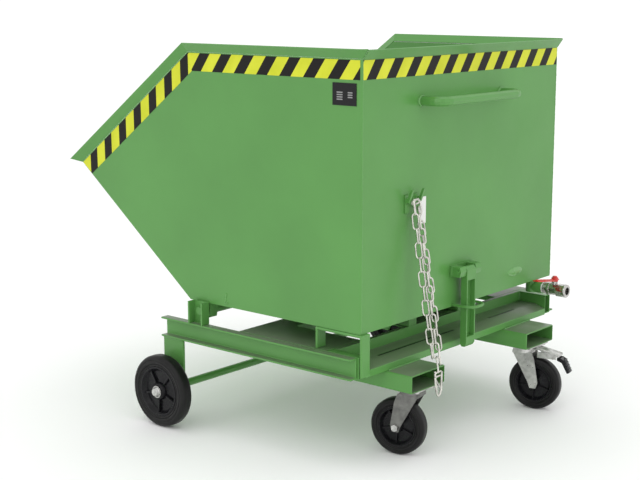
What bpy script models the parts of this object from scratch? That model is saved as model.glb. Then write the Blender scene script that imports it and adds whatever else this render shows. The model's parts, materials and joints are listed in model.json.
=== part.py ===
"""A wheeled tipping skip in painted sheet steel: an open hopper hinged at the front of a wheeled base.

Metres, +Z up, +Y the far side.  All stations along X are measured from the hopper's rear wall (the
handle side is +X, the pouring lip is -X).  The empty "skip" moves everything so that the origin is
under the middle of the whole object, on the floor.
"""

import math

import bmesh
import bpy
from mathutils import Matrix, Vector

# Driving dimensions
HOPPER_WIDTH = 1.000
SHEET = 0.003
GAP = 0.0003
FLOOR_Z = 0.390
WALL_TOP_Z = 1.134
FLOOR_FRONT_X = -0.658
SLOPE_TOP_X = -0.652
LIP_X, LIP_Z = -1.144, 0.769
LIP_TIP_X, LIP_TIP_Z = -1.187, 0.773
CORNER_RADIUS = 0.005
RIM_HEIGHT = 0.025
RIM_FLARE = 0.018

RAIL_BOTTOM_Z, RAIL_TOP_Z = 0.265, 0.3265
RAIL_WEB_Y, RAIL_TIP_Y = 0.505, 0.535
RAIL_FRONT_X, RAIL_REAR_X = -0.755, -0.0065
STEEL = 0.006
DECK_FRONT_X, DECK_REAR_X = -0.450, -0.1165
POCKET_BOTTOM_Z, POCKET_TOP_Z = 0.210, 0.262
POCKET_Y, POCKET_WIDTH, POCKET_WALL = 0.300, 0.160, 0.004
POCKET_FRONT_X, POCKET_REAR_X = -0.430, 0.087

CORNER_TUBE_Y = 0.474
HINGE_X, HINGE_Z = -0.605, 0.365
AXLE_X, AXLE_RADIUS = -0.7085, 0.012
FRONT_WHEEL_RADIUS, FRONT_WHEEL_WIDTH, FRONT_WHEEL_Y = 0.111, 0.049, 0.577
CASTER_X, CASTER_TRAIL = 0.031, 0.040
CASTER_TURN = math.radians(12)
CASTER_WHEEL_RADIUS, CASTER_WHEEL_WIDTH = 0.084, 0.044
CASTER_BOLT_RADIUS = 0.006

LATCH_X, LATCH_Y, LATCH_Z = 0.030, -0.025, 0.500
DRAIN_Y, DRAIN_Z = 0.430, 0.364
HANDLE_Z, HANDLE_STANDOFF, HANDLE_RADIUS = 1.009, 0.071, 0.0138
HANDLE_Y = (-0.232, 0.172)
CHAIN_HOOK_Z, CHAIN_Y = 0.735, -0.278
PEDAL_TIP_X = 0.186
MIDDLE_X = -(LIP_TIP_X + PEDAL_TIP_X) / 2

HALF = HOPPER_WIDTH / 2
SIDES = {"near": -1, "far": 1}


def clear_scene():
    for obj in list(bpy.data.objects):
        bpy.data.objects.remove(obj, do_unlink=True)


def collection(name):
    found = bpy.data.collections.new(name)
    bpy.context.scene.collection.children.link(found)
    return found


def material(name, colour, roughness, metallic=0.0):
    made = bpy.data.materials.new(name)
    made.use_nodes = True
    shader = made.node_tree.nodes["Principled BSDF"]
    shader.inputs["Base Color"].default_value = (*colour, 1.0)
    shader.inputs["Roughness"].default_value = roughness
    shader.inputs["Metallic"].default_value = metallic
    return made


clear_scene()
PARTS = collection("tipping_skip")
CUTTERS = collection("cutters")
GREEN = material("green_paint", (0.130, 0.340, 0.090), 0.35)
ZINC = material("zinc_plate", (0.60, 0.60, 0.58), 0.35, 1.0)
DARK_ZINC = material("dark_zinc", (0.22, 0.22, 0.21), 0.45, 1.0)
RUBBER = material("black_rubber", (0.015, 0.015, 0.015), 0.70)
PLASTIC = material("black_plastic", (0.010, 0.010, 0.010), 0.40)
RED = material("red_lever", (0.62, 0.03, 0.02), 0.40)
WHITE = material("white_band", (0.80, 0.80, 0.78), 0.60)
BLACK = material("black_plate", (0.010, 0.010, 0.010), 0.35)

SKIP = bpy.data.objects.new("skip", None)
PARTS.objects.link(SKIP)
SKIP.location = (MIDDLE_X, 0, 0)


def add(name, mesh, mat, holder=PARTS):
    """An object with its one material, parented to the skip."""
    mesh.materials.clear()
    mesh.materials.append(mat)
    obj = bpy.data.objects.new(name, mesh)
    holder.objects.link(obj)
    obj.parent = SKIP
    return obj


def from_bmesh(name, bm, mat, holder=PARTS):
    bmesh.ops.recalc_face_normals(bm, faces=bm.faces)
    mesh = bpy.data.meshes.new(name)
    bm.to_mesh(mesh)
    bm.free()
    return add(name, mesh, mat, holder)


def pivot(obj, point):
    """Puts the object's origin on a joint axis without moving its shape."""
    point = Vector(point)
    obj.data.transform(Matrix.Translation(-point))
    obj.location = point
    return obj


def bevel(obj, width, segments=2, angle=35):
    modifier = obj.modifiers.new("bevel", "BEVEL")
    modifier.width = width
    modifier.segments = segments
    modifier.limit_method = "ANGLE"
    modifier.angle_limit = math.radians(angle)
    return obj


def smooth(obj, angle=40):
    obj.data.shade_smooth()
    obj.data.set_sharp_from_angle(angle=math.radians(angle))
    return obj


def box(name, low, high, mat, holder=PARTS):
    bm = bmesh.new()
    bmesh.ops.create_cube(bm, size=1.0)
    low, high = Vector(low), Vector(high)
    bmesh.ops.scale(bm, vec=high - low, verts=bm.verts)
    bmesh.ops.translate(bm, vec=(low + high) / 2, verts=bm.verts)
    return from_bmesh(name, bm, mat, holder)


def rod(name, start, end, radius, mat, holder=PARTS, sides=20, radius_end=None):
    """A round bar between two points."""
    start, end = Vector(start), Vector(end)
    bm = bmesh.new()
    bmesh.ops.create_cone(
        bm, cap_ends=True, segments=sides, radius1=radius,
        radius2=radius if radius_end is None else radius_end, depth=(end - start).length,
    )
    turn = Vector((0, 0, 1)).rotation_difference(end - start).to_matrix()
    bmesh.ops.rotate(bm, matrix=turn, verts=bm.verts)
    bmesh.ops.translate(bm, vec=(start + end) / 2, verts=bm.verts)
    return smooth(from_bmesh(name, bm, mat, holder))


def prism(name, outline, axis, low, high, mat, holder=PARTS):
    """A flat outline drawn in the plane across an axis, extruded between two stations along it."""
    order = {"x": lambda p, s: (s, p[0], p[1]), "y": lambda p, s: (p[0], s, p[1]),
             "z": lambda p, s: (p[0], p[1], s)}[axis]
    bm = bmesh.new()
    face = bm.faces.new([bm.verts.new(order(p, low)) for p in outline])
    top = bmesh.ops.extrude_face_region(bm, geom=[face])
    moved = [v for v in top["geom"] if isinstance(v, bmesh.types.BMVert)]
    step = Vector(order((0, 0), high)) - Vector(order((0, 0), low))
    bmesh.ops.translate(bm, vec=step, verts=moved)
    return from_bmesh(name, bm, mat, holder)


def strip(name, rows, mat, thickness, offset=-1.0):
    """A sheet through matching rows of points, given its thickness by Solidify."""
    bm = bmesh.new()
    lines = [[bm.verts.new(p) for p in row] for row in rows]
    for one, two in zip(lines, lines[1:]):
        for a, b, c, d in zip(one, one[1:], two[1:], two):
            bm.faces.new((a, b, c, d))
    mesh = bpy.data.meshes.new(name)
    bm.to_mesh(mesh)
    bm.free()
    obj = add(name, mesh, mat)
    modifier = obj.modifiers.new("sheet", "SOLIDIFY")
    modifier.thickness = thickness
    modifier.offset = offset
    modifier.use_even_offset = True
    return obj


def tube(name, points, radius, mat, bend=0.0, resolution=3):
    """A round bar or tube along straight runs, with round bends."""
    path = rounded(points, bend) if bend else [Vector(p) for p in points]
    curve = bpy.data.curves.new(name, "CURVE")
    curve.dimensions = "3D"
    curve.bevel_depth = radius
    curve.bevel_resolution = resolution
    curve.use_fill_caps = True
    spline = curve.splines.new("POLY")
    spline.points.add(len(path) - 1)
    for point, place in zip(spline.points, path):
        point.co = (*place, 1)
    obj = bpy.data.objects.new(name + "_path", curve)
    bpy.context.scene.collection.objects.link(obj)
    graph = bpy.context.evaluated_depsgraph_get()
    mesh = bpy.data.meshes.new_from_object(obj.evaluated_get(graph))
    bpy.data.objects.remove(obj, do_unlink=True)
    bm = bmesh.new()
    bm.from_mesh(mesh)
    bmesh.ops.remove_doubles(bm, verts=bm.verts, dist=0.00001)
    return smooth(from_bmesh(name, bm, mat), 60)


def rounded(points, radius, steps=5):
    """The points of a path with each inner corner turned into an arc."""
    points = [Vector(p) for p in points]
    path = [points[0]]
    for before, corner, after in zip(points, points[1:], points[2:]):
        into, out = (before - corner).normalized(), (after - corner).normalized()
        half_angle = into.angle(out) / 2
        start = corner + into * radius / math.tan(half_angle)
        middle = corner + (into + out).normalized() * radius / math.sin(half_angle)
        end = corner + out * radius / math.tan(half_angle)
        sweep = (start - middle).angle(end - middle)
        for i in range(steps + 1):
            part = i / steps
            a = math.sin((1 - part) * sweep) / math.sin(sweep)
            b = math.sin(part * sweep) / math.sin(sweep)
            path.append(middle + (start - middle) * a + (end - middle) * b)
    path.append(points[-1])
    return path


def turned(name, centre, profile, mat, steps=32):
    """A body turned about the Y axis from (radius, y) points, listed from the far face to the near one."""
    mesh = bpy.data.meshes.new(name)
    ring = [(r, 0, y) for r, y in profile]
    edges = [(i, (i + 1) % len(ring)) for i in range(len(ring))]
    mesh.from_pydata(ring, edges, [])
    obj = add(name, mesh, mat)
    modifier = obj.modifiers.new("turn", "SCREW")
    modifier.axis = "Z"
    modifier.steps = steps
    modifier.render_steps = steps
    modifier.use_merge_vertices = True
    modifier.merge_threshold = 0.00001
    modifier.use_smooth_shade = True
    obj.rotation_euler = (-math.pi / 2, 0, 0)
    obj.location = centre
    return obj


def boolean(obj, other, operation):
    modifier = obj.modifiers.new(operation.lower(), "BOOLEAN")
    modifier.operation = operation
    modifier.object = other
    modifier.solver = "EXACT"
    other.hide_render = True
    other.display_type = "WIRE"
    return obj


def cut(obj, *tools):
    for tool in tools:
        boolean(obj, tool, "DIFFERENCE")
    return obj


def join(obj, *others):
    for other in others:
        boolean(obj, other, "UNION")
    return obj


def mirrored(y_values, side):
    low, high = sorted(side * y for y in y_values)
    return low, high


# Hopper


def arc(radius, centre_x, centre_y, side, steps=4):
    """Plan points of the rear corner, from the side wall round to the rear wall."""
    angles = [math.radians(90 - 90 * i / steps) for i in range(steps + 1)]
    return [(centre_x + radius * math.cos(a), side * (centre_y + radius * math.sin(a))) for a in angles]


def side_panel(name, side):
    """The flat side with its slanted front, wrapped round the rear corner."""
    corner_y = HALF - CORNER_RADIUS
    outline = [(FLOOR_FRONT_X, FLOOR_Z), (LIP_X, LIP_Z), (SLOPE_TOP_X, WALL_TOP_Z)]
    bm = bmesh.new()
    edges = []
    for depth in (0, SHEET):
        plan = arc(CORNER_RADIUS - depth, -CORNER_RADIUS, corner_y, side)
        low = [bm.verts.new((x, y, FLOOR_Z)) for x, y in plan]
        high = [bm.verts.new((x, y, WALL_TOP_Z)) for x, y in plan]
        front = [bm.verts.new((x, side * (HALF - depth), z)) for x, z in outline]
        bm.faces.new((low[0], *front, high[0]))
        for quad in zip(low, low[1:], high[1:], high):
            bm.faces.new(quad)
        edges.append([*reversed(low), *front, *high])
    outer, inner = edges
    for i in range(len(outer)):
        bm.faces.new((outer[i - 1], outer[i], inner[i], inner[i - 1]))
    return smooth(from_bmesh(name, bm, GREEN), 50)


def hopper_sheets():
    inner = HALF - SHEET - GAP
    rear_half = HALF - CORNER_RADIUS - GAP
    box("rear_wall", (-SHEET, -rear_half, FLOOR_Z), (0, rear_half, WALL_TOP_Z), GREEN)
    slope = math.atan2(LIP_Z - FLOOR_Z, FLOOR_FRONT_X - LIP_X)
    knee, floor_back = SHEET * math.tan(slope / 2), -SHEET - GAP
    outline = [
        (floor_back, FLOOR_Z), (floor_back, FLOOR_Z + SHEET), (FLOOR_FRONT_X + knee, FLOOR_Z + SHEET),
        (LIP_X + SHEET * math.sin(slope), LIP_Z + SHEET * math.cos(slope)), (LIP_X, LIP_Z), (FLOOR_FRONT_X, FLOOR_Z),
    ]
    sheet = prism("floor_and_chute", outline, "y", -inner, inner, GREEN)
    notch = CORNER_RADIUS + GAP
    notches = [
        box(f"floor_corner_{name}", (-notch, mirrored((HALF - notch, HALF), side)[0], FLOOR_Z - 0.01),
            (0.01, mirrored((HALF - notch, HALF), side)[1], FLOOR_Z + 0.01), GREEN, CUTTERS)
        for name, side in SIDES.items()
    ]
    cut(sheet, *notches)


def hopper_rims():
    """Turned-out edge strips, so the top of the hopper is stiff and its edge is not sharp."""
    mitre = (-0.008, RIM_HEIGHT)
    for name, side in SIDES.items():
        corner_y = HALF - CORNER_RADIUS
        inner_arc = arc(CORNER_RADIUS, -CORNER_RADIUS, corner_y, side)
        outer_arc = arc(CORNER_RADIUS + RIM_FLARE, -CORNER_RADIUS, corner_y, side)
        low = [(LIP_X, side * HALF, LIP_Z + GAP), (SLOPE_TOP_X, side * HALF, WALL_TOP_Z + GAP)]
        low += [(x, y, WALL_TOP_Z + GAP) for x, y in inner_arc]
        flare = side * (HALF + RIM_FLARE)
        high = [(LIP_TIP_X + 0.003, flare, LIP_TIP_Z + 0.004),
                (SLOPE_TOP_X + mitre[0], flare, WALL_TOP_Z + mitre[1])]
        high += [(x, y, WALL_TOP_Z + RIM_HEIGHT) for x, y in outer_arc]
        rim = strip(f"rim_{name}", [low, high], GREEN, SHEET, offset=side * 1.0)
        smooth(rim, 50)
    rear_half = HALF - CORNER_RADIUS - GAP
    base, top = WALL_TOP_Z + GAP, WALL_TOP_Z + RIM_HEIGHT
    strip("rim_rear", [[(0, -rear_half, base), (0, rear_half, base)],
                       [(RIM_FLARE, -rear_half, top), (RIM_FLARE, rear_half, top)]], GREEN, SHEET, 1.0)
    lip_half = HALF - 2 * SHEET
    strip("rim_lip", [[(LIP_X - 0.001, -lip_half, LIP_Z + 0.0005), (LIP_X - 0.001, lip_half, LIP_Z + 0.0005)],
                      [(LIP_TIP_X, -lip_half, LIP_TIP_Z), (LIP_TIP_X, lip_half, LIP_TIP_Z)]],
          GREEN, SHEET, -1.0)


def hopper_underside():
    """Two runners that stand on the deck, and the hinge tube in its two saddles."""
    for name, side in SIDES.items():
        low, high = mirrored((0.108, 0.148), side)
        bevel(box(f"runner_{name}", (-0.575, low, RAIL_TOP_Z + GAP), (-0.096, high, FLOOR_Z - GAP), GREEN), 0.003)
    length = 0.470
    pipe = rod("hinge_tube", (HINGE_X, -length, HINGE_Z), (HINGE_X, length, HINGE_Z), 0.0169, GREEN, sides=24)
    for name, side in SIDES.items():
        low, high = mirrored((length - 0.008, 0.4967), side)
        outline = [(HINGE_X - 0.026, FLOOR_Z - GAP), (HINGE_X - 0.020, 0.343), (HINGE_X + 0.020, 0.343),
                   (HINGE_X + 0.030, FLOOR_Z - GAP)]
        join(pipe, prism(f"hinge_saddle_{name}", outline, "y", low, high, GREEN, CUTTERS))
        bore = rod(f"hinge_bore_{name}", (HINGE_X, side * 0.40, HINGE_Z), (HINGE_X, side * 0.52, HINGE_Z),
                   0.0084, GREEN, CUTTERS, sides=24)
        cut(pipe, bore)


def push_handle():
    near, far = HANDLE_Y
    points = [(GAP, near, HANDLE_Z), (HANDLE_STANDOFF, near, HANDLE_Z), (HANDLE_STANDOFF, far, HANDLE_Z),
              (GAP, far, HANDLE_Z)]
    tube("push_handle", points, HANDLE_RADIUS, GREEN, bend=0.035)


def chain_bracket():
    plate = box("chain_hook", (GAP, CHAIN_Y - 0.031, 0.700), (0.005, CHAIN_Y + 0.031, 0.752), GREEN)
    for number, y in enumerate((CHAIN_Y - 0.027, CHAIN_Y + 0.027)):
        side_view = [(0.003, 0.730), (0.016, 0.730), (0.030, 0.768), (0.022, 0.768), (0.012, 0.744), (0.003, 0.744)]
        join(plate, prism(f"prong_{number}", side_view, "y", y - 0.004, y + 0.004, GREEN, CUTTERS))
    box("chain_tag", (GAP, -0.238, 0.662), (0.0025, -0.208, 0.738), WHITE)


def latch():
    """A two-eared bracket, its pin, the hanging lever, and the round-bar guard that limits its swing."""
    ear, width = 0.030, 0.023
    plate = box("latch_bracket", (GAP, LATCH_Y - 0.056, LATCH_Z - 0.018),
                (0.004, LATCH_Y + 0.056, LATCH_Z + 0.016), GREEN)
    for number, side in enumerate((-1, 1)):
        low, high = sorted((LATCH_Y + side * (width + 0.002), LATCH_Y + side * (width + 0.002 + ear)))
        lug = prism(f"latch_ear_{number}", [(0.002, LATCH_Z - 0.016), (LATCH_X + 0.006, LATCH_Z - 0.016),
                                            (LATCH_X + 0.010, LATCH_Z), (LATCH_X + 0.006, LATCH_Z + 0.014),
                                            (0.002, LATCH_Z + 0.014)], "y", low, high, GREEN, CUTTERS)
        join(plate, lug)
    hole = rod("latch_hole", (LATCH_X, LATCH_Y - 0.10, LATCH_Z), (LATCH_X, LATCH_Y + 0.10, LATCH_Z),
               0.0054, GREEN, CUTTERS)
    cut(plate, hole)
    rod("latch_pin", (LATCH_X, LATCH_Y - 0.060, LATCH_Z), (LATCH_X, LATCH_Y + 0.060, LATCH_Z), 0.005, GREEN)
    front, back, foot = LATCH_X - 0.011, LATCH_X + 0.011, 0.268
    side_view = [(front, LATCH_Z + 0.010), (front, foot + 0.008), (front + 0.006, foot), (back - 0.006, foot),
                 (back, foot + 0.010), (back, LATCH_Z + 0.002), (back - 0.008, LATCH_Z + 0.012)]
    lever = prism("latch_lever", side_view, "y", LATCH_Y - width, LATCH_Y + width, GREEN)
    channel = box("lever_channel", (LATCH_X - 0.006, LATCH_Y - width + 0.005, foot + 0.030),
                  (LATCH_X + 0.020, LATCH_Y + width - 0.005, LATCH_Z - 0.030), GREEN, CUTTERS)
    bore = rod("lever_bore", (LATCH_X, LATCH_Y - 0.05, LATCH_Z), (LATCH_X, LATCH_Y + 0.05, LATCH_Z),
               0.0053, GREEN, CUTTERS)
    cut(lever, channel, bore)
    pivot(lever, (LATCH_X, LATCH_Y, LATCH_Z))
    for cutter in (channel, bore):
        pivot(cutter, (LATCH_X, LATCH_Y, LATCH_Z))
    near, far, out, z = LATCH_Y - 0.040, LATCH_Y + 0.040, 0.070, 0.395
    tube("latch_guard", [(GAP, near, z), (out, near, z), (out, far, z), (GAP, far, z)], 0.0045, GREEN, bend=0.030)


def drain():
    """A pipe elbow out of the hopper floor, a sealing band, a ball valve and its lever."""
    x = -0.026
    elbow = rod("drain_elbow", (x, DRAIN_Y, DRAIN_Z - 0.018), (x, DRAIN_Y, FLOOR_Z - GAP), 0.020, GREEN, sides=24)
    arm = rod("elbow_arm", (x - 0.004, DRAIN_Y, DRAIN_Z), (0.016, DRAIN_Y, DRAIN_Z), 0.0195, GREEN, CUTTERS, sides=24)
    join(elbow, arm)
    rod("seal_band", (0.016 + GAP, DRAIN_Y, DRAIN_Z), (0.022, DRAIN_Y, DRAIN_Z), 0.0175, WHITE, sides=24)
    body = rod("valve_body", (0.022 + GAP, DRAIN_Y, DRAIN_Z), (0.104, DRAIN_Y, DRAIN_Z), 0.0185, ZINC, sides=24)
    hex_end = rod("valve_hex", (0.070, DRAIN_Y, DRAIN_Z), (0.100, DRAIN_Y, DRAIN_Z), 0.0215, ZINC, CUTTERS, sides=6)
    neck = rod("valve_neck", (0.058, DRAIN_Y, DRAIN_Z), (0.058, DRAIN_Y, DRAIN_Z + 0.026), 0.010, ZINC, CUTTERS)
    outlet = rod("valve_outlet", (0.078, DRAIN_Y, DRAIN_Z), (0.12, DRAIN_Y, DRAIN_Z), 0.0125, ZINC, CUTTERS, sides=24)
    join(body, hex_end, neck)
    cut(body, outlet)
    top = DRAIN_Z + 0.026
    low, tip = top + 0.004, DRAIN_Y - 0.118
    side_view = [(DRAIN_Y + 0.011, low), (DRAIN_Y - 0.022, low), (tip, low + 0.015), (tip, low + 0.019),
                 (DRAIN_Y - 0.024, low + 0.004), (DRAIN_Y + 0.011, low + 0.004)]
    lever = prism("valve_lever", side_view, "x", 0.048, 0.068, RED)
    join(lever, rod("lever_hub", (0.058, DRAIN_Y, top + GAP), (0.058, DRAIN_Y, top + 0.013), 0.011, RED, CUTTERS))
    bevel(lever, 0.001)
    pivot(lever, (0.058, DRAIN_Y, top))
    pivot(bpy.data.objects["lever_hub"], (0.058, DRAIN_Y, top))


def hopper():
    for name, side in SIDES.items():
        side_panel(f"side_panel_{name}", side)
    hopper_sheets()
    hopper_rims()
    hopper_underside()
    push_handle()
    chain_bracket()
    latch()
    drain()
    box("type_plate", (-0.099, -HALF - 0.0015, 1.010), (-0.017, -HALF - GAP, 1.070), BLACK)


# Base


def channel_outline(side, web, tip, low, high):
    """The section of a channel whose flanges point outward, as (y, z) points."""
    w, t = side * web, side * tip
    inner = side * (web + STEEL)
    return [(w, low), (t, low), (t, low + STEEL), (inner, low + STEEL), (inner, high - STEEL), (t, high - STEEL),
            (t, high), (w, high)]


def rails_and_deck():
    for name, side in SIDES.items():
        outline = channel_outline(side, RAIL_WEB_Y, RAIL_TIP_Y, RAIL_BOTTOM_Z, RAIL_TOP_Z)
        prism(f"rail_{name}", outline, "x", RAIL_FRONT_X, RAIL_REAR_X, GREEN)
    edge = RAIL_WEB_Y - GAP
    deck = box("deck_plate", (DECK_FRONT_X, -edge, RAIL_TOP_Z - 0.004), (DECK_REAR_X, edge, RAIL_TOP_Z), GREEN)
    for name, side in SIDES.items():
        low, high = mirrored((0.149, 0.352), side)
        cut(deck, box(f"deck_hole_{name}", (-0.360, low, 0.30), (-0.112, high, 0.35), GREEN, CUTTERS))
    join(deck, box("deck_beam", (DECK_FRONT_X + 0.001, -edge, POCKET_TOP_Z + GAP),
                   (DECK_FRONT_X + 0.041, edge, RAIL_TOP_Z - 0.002), GREEN, CUTTERS))


def rear_sill():
    """The stepped cross-member at the back: a low lip, a ledge with a slot in it, and a riser to the deck."""
    low, ledge = POCKET_TOP_Z + GAP, 0.2955
    front, t = 0.0, 0.004
    outline = [(front, low), (front, ledge - 0.013), (-0.038, ledge), (-0.100, ledge), (-0.100, RAIL_TOP_Z),
               (-0.116, RAIL_TOP_Z), (-0.116, RAIL_TOP_Z - t), (-0.100 - t, RAIL_TOP_Z - t), (-0.100 - t, ledge - t),
               (-0.038 - t / 2, ledge - t), (front - t, ledge - 0.0165), (front - t, low)]
    edge = CORNER_TUBE_Y - GAP
    sill = prism("rear_sill", outline, "y", -edge, edge, GREEN)
    for number, (start, end) in enumerate(((-0.362, 0.012), (0.205, 0.352))):
        slot = box(f"sill_slot_{number}", (-0.050, start, ledge - 0.02), (-0.042, end, ledge + 0.02), GREEN, CUTTERS)
        cut(sill, slot)


def corner_tubes():
    """Short rectangular tubes against the rails' rear ends, open at both ends, that the sill is welded to."""
    wall = 0.003
    for name, side in SIDES.items():
        low, high = mirrored((CORNER_TUBE_Y, RAIL_WEB_Y - GAP), side)
        tube_block = box(f"corner_tube_{name}", (-0.116, low, RAIL_BOTTOM_Z), (-0.001, high, RAIL_TOP_Z), GREEN)
        inside = box(f"corner_inside_{name}", (-0.20, low + wall, RAIL_BOTTOM_Z + wall),
                     (0.10, high - wall, RAIL_TOP_Z - wall), GREEN, CUTTERS)
        cut(tube_block, inside)


def fork_pockets():
    for name, side in SIDES.items():
        y_low, y_high = mirrored((POCKET_Y - POCKET_WIDTH / 2, POCKET_Y + POCKET_WIDTH / 2), side)
        outer = box(f"fork_pocket_{name}", (POCKET_FRONT_X, y_low, POCKET_BOTTOM_Z),
                    (POCKET_REAR_X, y_high, POCKET_TOP_Z), GREEN)
        wall = POCKET_WALL
        inside = box(f"pocket_inside_{name}", (POCKET_FRONT_X - 0.01, y_low + wall, POCKET_BOTTOM_Z + wall),
                     (POCKET_REAR_X + 0.01, y_high - wall, POCKET_TOP_Z - wall), GREEN, CUTTERS)
        bevel(outer, 0.004)
        cut(outer, inside)


def rest_bracket():
    """A flat bar bent into an upturned U at the near rear corner, which the hopper's floor rests over."""
    top, bar = FLOOR_Z - 2 * GAP, 0.008
    near, far = -0.5045, -0.466
    foot = RAIL_TOP_Z + GAP
    outline = [(GAP, POCKET_TOP_Z + 0.006), (GAP + bar, POCKET_TOP_Z + 0.006), (GAP + bar, top), (-0.158, top),
               (-0.158, foot), (-0.150, foot), (-0.150, top - bar), (GAP, top - bar)]
    prism("rest_bracket", outline, "y", near, far, GREEN)


def hinge_posts():
    """Upright pieces of the rail's channel, each carrying one hinge pin."""
    for name, side in SIDES.items():
        web, tip = RAIL_WEB_Y, RAIL_TIP_Y
        w, t, inner = side * web, side * tip, side * (web + STEEL)
        back, front = HINGE_X + 0.030, HINGE_X - 0.030
        outline = [(front, w), (front, t), (front + STEEL, t), (front + STEEL, inner), (back - STEEL, inner),
                   (back - STEEL, t), (back, t), (back, w)]
        post = prism(f"hinge_post_{name}", outline, "z", RAIL_TOP_Z + GAP, FLOOR_Z + 0.004, GREEN)
        hole = rod(f"post_hole_{name}", (HINGE_X, side * 0.48, HINGE_Z), (HINGE_X, side * 0.55, HINGE_Z),
                   0.0084, GREEN, CUTTERS, sides=24)
        cut(post, hole)
        pin = rod(f"hinge_pin_{name}", (HINGE_X, side * 0.415, HINGE_Z), (HINGE_X, side * 0.516, HINGE_Z),
                  0.008, GREEN, sides=24)
        head = rod(f"pin_head_{name}", (HINGE_X, side * (inner * side + GAP), HINGE_Z),
                   (HINGE_X, side * 0.519, HINGE_Z), 0.012, GREEN, CUTTERS, sides=24)
        join(pin, head)


def front_axle():
    for name, side in SIDES.items():
        low, high = mirrored((0.520, 0.528), side)
        outline = [(AXLE_X - 0.042, RAIL_BOTTOM_Z - GAP), (AXLE_X - 0.042, 0.110), (AXLE_X - 0.026, 0.084),
                   (AXLE_X + 0.026, 0.084), (AXLE_X + 0.042, 0.110), (AXLE_X + 0.042, RAIL_BOTTOM_Z - GAP)]
        leg = prism(f"front_leg_{name}", outline, "y", low, high, GREEN)
        hole = rod(f"leg_hole_{name}", (AXLE_X, side * 0.50, FRONT_WHEEL_RADIUS),
                   (AXLE_X, side * 0.54, FRONT_WHEEL_RADIUS), AXLE_RADIUS + GAP, GREEN, CUTTERS, sides=24)
        cut(leg, hole)
        rod(f"axle_nut_{name}", (AXLE_X, side * 0.6023, FRONT_WHEEL_RADIUS), (AXLE_X, side * 0.612, FRONT_WHEEL_RADIUS),
            0.016, ZINC, sides=24, radius_end=0.011)
    rod("front_axle", (AXLE_X, -0.602, FRONT_WHEEL_RADIUS), (AXLE_X, 0.602, FRONT_WHEEL_RADIUS), AXLE_RADIUS, GREEN,
        sides=24)


# Wheels


def wheel(name, centre, radius, width, bore):
    """A rubber tyre on a dished plastic hub."""
    half, seat = width / 2, radius * 0.68
    tyre = [(seat, half * 0.84), (radius * 0.86, half * 0.92), (radius * 0.955, half * 0.80), (radius, half * 0.42),
            (radius, -half * 0.42), (radius * 0.955, -half * 0.80), (radius * 0.86, -half * 0.92), (seat, -half * 0.84)]
    made = [turned(f"{name}_tyre", centre, tyre, RUBBER)]
    rim, web, boss = seat - GAP, half * 0.35, half
    hub = [(bore, boss), (bore + radius * 0.10, boss), (bore + radius * 0.14, web), (rim * 0.86, web),
           (rim * 0.92, half * 0.88), (rim, half * 0.88), (rim, -half * 0.88), (rim * 0.92, -half * 0.88),
           (rim * 0.86, -web), (bore + radius * 0.14, -web), (bore + radius * 0.10, -boss), (bore, -boss)]
    made.append(turned(f"{name}_hub", centre, hub, PLASTIC))
    return made


def front_wheels():
    for name, side in SIDES.items():
        centre = (AXLE_X, side * FRONT_WHEEL_Y, FRONT_WHEEL_RADIUS)
        wheel(f"front_wheel_{name}", centre, FRONT_WHEEL_RADIUS, FRONT_WHEEL_WIDTH, AXLE_RADIUS + GAP)


def hang(obj, swivel):
    """Carries an object on a caster's swivel."""
    obj.parent = swivel
    obj.location = Vector(obj.location) - swivel.location
    return obj


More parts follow.
